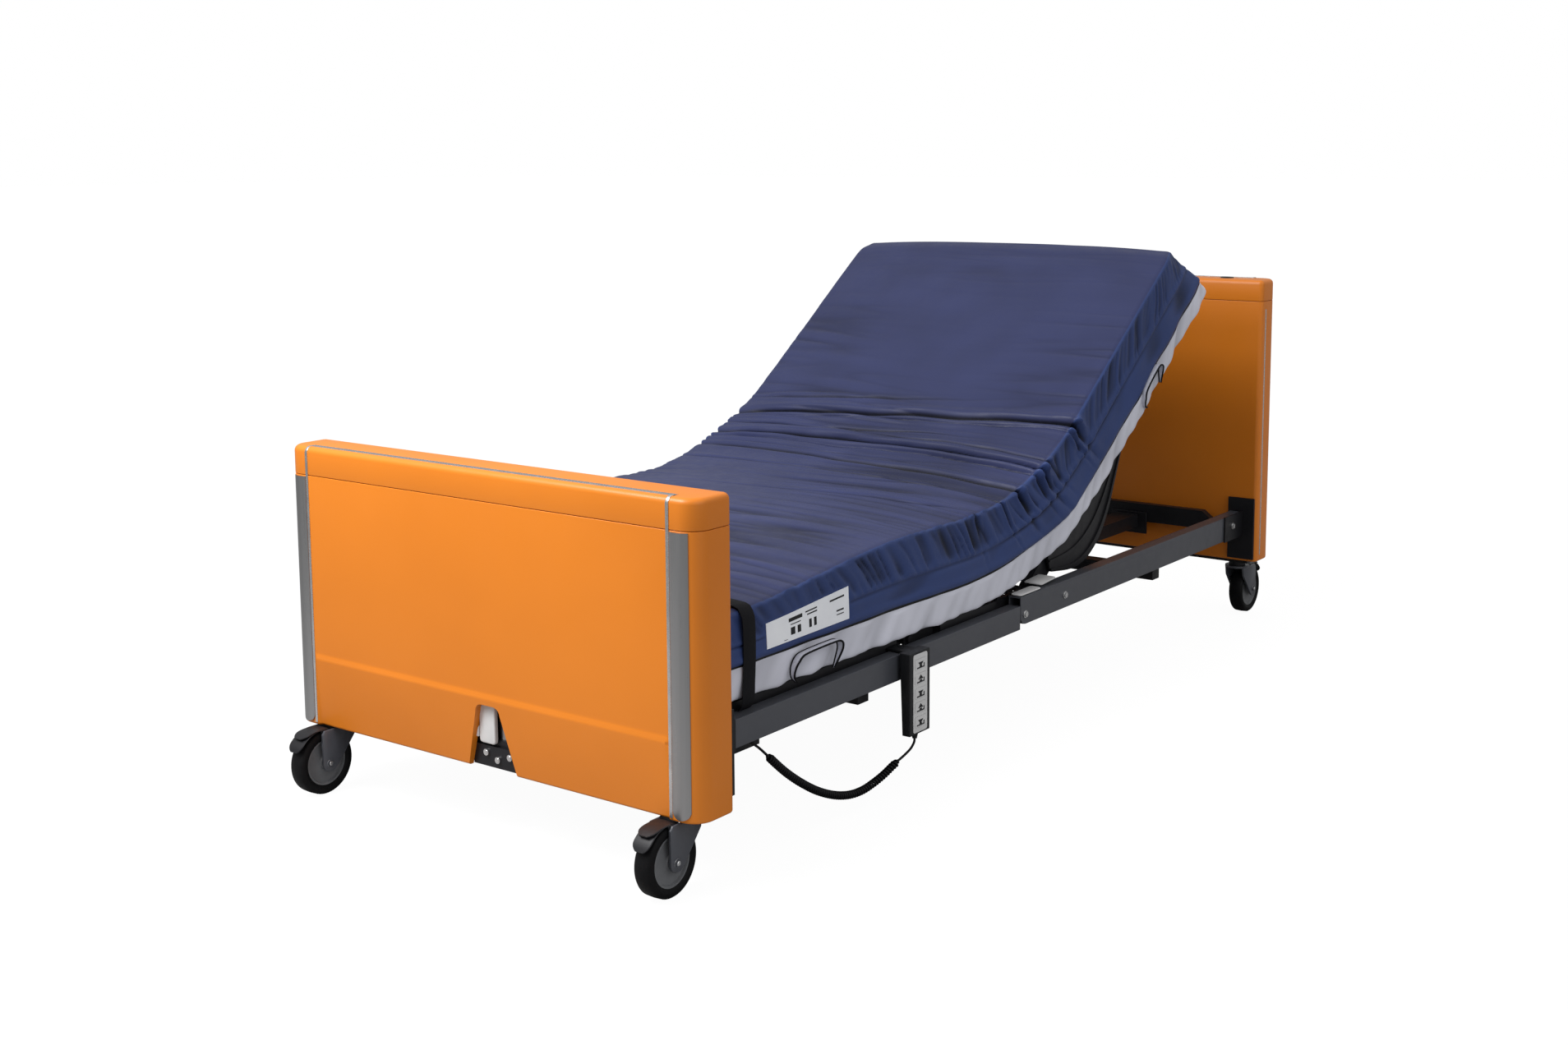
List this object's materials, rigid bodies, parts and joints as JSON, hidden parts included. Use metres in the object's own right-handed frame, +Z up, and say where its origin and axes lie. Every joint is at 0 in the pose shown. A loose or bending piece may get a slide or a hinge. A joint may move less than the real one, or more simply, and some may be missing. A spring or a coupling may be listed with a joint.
{
  "type": "adjustable hospital bed",
  "caption": "Low profiling hospital bed with end boards, lifting columns, raised back section, soft foam mattress, corded hand control and braked swivel castors.",
  "frame": {"origin": "on the floor under the middle of the bed's bounding box", "axes": "+X to the right seen from the foot end, +Y towards the head end, +Z up"},
  "size_m": [1.002, 2.477, 0.9706],
  "materials": {
    "board_orange": "satin moulded plastic",
    "trim_aluminium": "satin anodised",
    "bright_steel": "bright zinc",
    "frame_grey": "satin powder coat",
    "frame_black": "satin powder coat",
    "case_black": "fine grained",
    "key_grey": "satin film",
    "cord_black": "satin",
    "cover_navy": "coated knit, slight sheen",
    "cover_grey": "coated knit",
    "webbing_black": "woven webbing",
    "label_white": "printed tape, left blank",
    "hub_grey": "satin",
    "tyre_black": "moulded rubber"
  },
  "bodies": {
    "foot_base": {"foot_base_bar": "frame_grey", "foot_legs": "trim_aluminium", "foot_lift_tube": "trim_aluminium", "foot_lift_motor": "case_black", "foot_base_bolts": "bright_steel"},
    "head_base": {"head_base_bar": "frame_grey", "head_legs": "trim_aluminium", "head_lift_tube": "trim_aluminium", "head_lift_motor": "case_black"},
    "back": {"back_frame": "frame_black", "mattress_back": "cover_navy"},
    "thigh": {"thigh_frame": "frame_black", "mattress_thigh": "cover_navy"},
    "calf": {"calf_frame": "frame_black", "mattress_calf": "cover_navy"},
    "back_rod": {"back_actuator_rod": "bright_steel"},
    "knee_rod": {"knee_actuator_rod": "bright_steel"},
    "key_1": {"handset_key_1": "key_grey"},
    "key_2": {"handset_key_2": "key_grey"},
    "key_3": {"handset_key_3": "key_grey"},
    "key_4": {"handset_key_4": "key_grey"},
    "key_5": {"handset_key_5": "key_grey"},
    "fork_foot_right_body": {"fork_foot_right": "frame_grey"},
    "wheel_foot_right_body": {"wheel_foot_right": "tyre_black"},
    "pedal_foot_right_body": {"pedal_foot_right": "case_black"},
    "fork_foot_left_body": {"fork_foot_left": "frame_grey"},
    "wheel_foot_left_body": {"wheel_foot_left": "tyre_black"},
    "pedal_foot_left_body": {"pedal_foot_left": "case_black"},
    "fork_head_right_body": {"fork_head_right": "frame_grey"},
    "wheel_head_right_body": {"wheel_head_right": "tyre_black"},
    "pedal_head_right_body": {"pedal_head_right": "case_black"},
    "fork_head_left_body": {"fork_head_left": "frame_grey"},
    "wheel_head_left_body": {"wheel_head_left": "tyre_black"},
    "pedal_head_left_body": {"pedal_head_left": "case_black"},
    "chassis": {"foot_board_shell": "board_orange", "foot_board_cap": "board_orange", "head_board_shell": "board_orange", "head_board_cap": "board_orange", "corner_trims": "trim_aluminium", "lift_sleeves": "trim_aluminium", "edge_beads": "bright_steel", "frame_bolts": "bright_steel", "foot_lift_rod": "bright_steel", "head_lift_rod": "bright_steel", "rail_foot_right": "frame_grey", "rail_foot_left": "frame_grey", "rail_head_right": "frame_grey", "rail_head_left": "frame_grey", "seat_deck": "frame_grey", "corner_brackets": "frame_black", "cross_channels": "frame_black", "deck_crossbeams": "frame_black", "back_actuator_body": "case_black", "knee_actuator_body": "case_black", "control_box": "case_black", "cord_gland": "case_black", "handset_body": "case_black", "handset_cord": "cord_black", "handset_cord_curl": "cord_black", "mattress_seat": "cover_navy"}
  },
  "joints": [
    {"name": "bed_lift", "type": "slide", "parent": "foot_base", "child": "chassis", "axis": [0, 0, 1], "range_m": [0, 0.35]},
    {"name": "head_lift", "type": "slide", "parent": "chassis", "child": "head_base", "axis": [0, 0, -1], "range_m": [0, 0.35]},
    {"name": "back_hinge", "type": "hinge", "parent": "chassis", "child": "back", "pos_m": [0, 0.08, 0.268], "axis": [1, 0, 0], "range_deg": [-36, 34]},
    {"name": "back_push", "type": "slide", "parent": "chassis", "child": "back_rod", "axis": [0, 1, 0], "range_m": [-0.068, 0.066]},
    {"name": "thigh_hinge", "type": "hinge", "parent": "chassis", "child": "thigh", "pos_m": [0, -0.08, 0.268], "axis": [-1, 0, 0], "range_deg": [0, 35]},
    {"name": "knee_hinge", "type": "hinge", "parent": "thigh", "child": "calf", "pos_m": [0, -0.42, 0.268], "axis": [-1, 0, 0], "range_deg": [-54.5, 0]},
    {"name": "knee_push", "type": "slide", "parent": "chassis", "child": "knee_rod", "axis": [0, -1, 0], "range_m": [0, 0.064]},
    {"name": "key_1_rock", "type": "hinge", "parent": "chassis", "child": "key_1", "pos_m": [0.486, -0.497, 0.136], "axis": [0, 0, 1], "range_deg": [-3, 3], "stiffness_Nm_per_rad": 0.03},
    {"name": "key_2_rock", "type": "hinge", "parent": "chassis", "child": "key_2", "pos_m": [0.486, -0.497, 0.164], "axis": [0, 0, 1], "range_deg": [-3, 3], "stiffness_Nm_per_rad": 0.03},
    {"name": "key_3_rock", "type": "hinge", "parent": "chassis", "child": "key_3", "pos_m": [0.486, -0.497, 0.192], "axis": [0, 0, 1], "range_deg": [-3, 3], "stiffness_Nm_per_rad": 0.03},
    {"name": "key_4_rock", "type": "hinge", "parent": "chassis", "child": "key_4", "pos_m": [0.486, -0.497, 0.22], "axis": [0, 0, 1], "range_deg": [-3, 3], "stiffness_Nm_per_rad": 0.03},
    {"name": "key_5_rock", "type": "hinge", "parent": "chassis", "child": "key_5", "pos_m": [0.486, -0.497, 0.248], "axis": [0, 0, 1], "range_deg": [-3, 3], "stiffness_Nm_per_rad": 0.03},
    {"name": "foot_right_swivel", "type": "hinge", "parent": "foot_base", "child": "fork_foot_right_body", "pos_m": [0.43, -1.1225, 0.15], "axis": [0, 0, 1], "continuous": true},
    {"name": "foot_right_spin", "type": "hinge", "parent": "fork_foot_right_body", "child": "wheel_foot_right_body", "pos_m": [0.43, -1.1725, 0.0625], "axis": [1, 0, 0], "continuous": true},
    {"name": "foot_right_brake", "type": "hinge", "parent": "fork_foot_right_body", "child": "pedal_foot_right_body", "pos_m": [0.43, -1.1725, 0.1045], "axis": [1, 0, 0], "range_deg": [0, 10]},
    {"name": "foot_left_swivel", "type": "hinge", "parent": "foot_base", "child": "fork_foot_left_body", "pos_m": [-0.43, -1.1225, 0.15], "axis": [0, 0, 1], "continuous": true},
    {"name": "foot_left_spin", "type": "hinge", "parent": "fork_foot_left_body", "child": "wheel_foot_left_body", "pos_m": [-0.43, -1.1725, 0.0625], "axis": [1, 0, 0], "continuous": true},
    {"name": "foot_left_brake", "type": "hinge", "parent": "fork_foot_left_body", "child": "pedal_foot_left_body", "pos_m": [-0.43, -1.1725, 0.1045], "axis": [1, 0, 0], "range_deg": [0, 10]},
    {"name": "head_right_swivel", "type": "hinge", "parent": "head_base", "child": "fork_head_right_body", "pos_m": [0.43, 1.1225, 0.15], "axis": [0, 0, 1], "continuous": true},
    {"name": "head_right_spin", "type": "hinge", "parent": "fork_head_right_body", "child": "wheel_head_right_body", "pos_m": [0.43, 1.1725, 0.0625], "axis": [1, 0, 0], "continuous": true},
    {"name": "head_right_brake", "type": "hinge", "parent": "fork_head_right_body", "child": "pedal_head_right_body", "pos_m": [0.43, 1.1725, 0.1045], "axis": [-1, 0, 0], "range_deg": [0, 10]},
    {"name": "head_left_swivel", "type": "hinge", "parent": "head_base", "child": "fork_head_left_body", "pos_m": [-0.43, 1.1225, 0.15], "axis": [0, 0, 1], "continuous": true},
    {"name": "head_left_spin", "type": "hinge", "parent": "fork_head_left_body", "child": "wheel_head_left_body", "pos_m": [-0.43, 1.1725, 0.0625], "axis": [1, 0, 0], "continuous": true},
    {"name": "head_left_brake", "type": "hinge", "parent": "fork_head_left_body", "child": "pedal_head_left_body", "pos_m": [-0.43, 1.1725, 0.1045], "axis": [-1, 0, 0], "range_deg": [0, 10]}
  ],
  "couplings": [
    {"joint": "head_lift", "follows": "bed_lift", "ratio": 1},
    {"joint": "back_push", "follows": "back_hinge", "m_per_rad": 0.105},
    {"joint": "knee_hinge", "follows": "thigh_hinge", "ratio": -1.542},
    {"joint": "knee_push", "follows": "thigh_hinge", "m_per_rad": 0.1034}
  ]
}
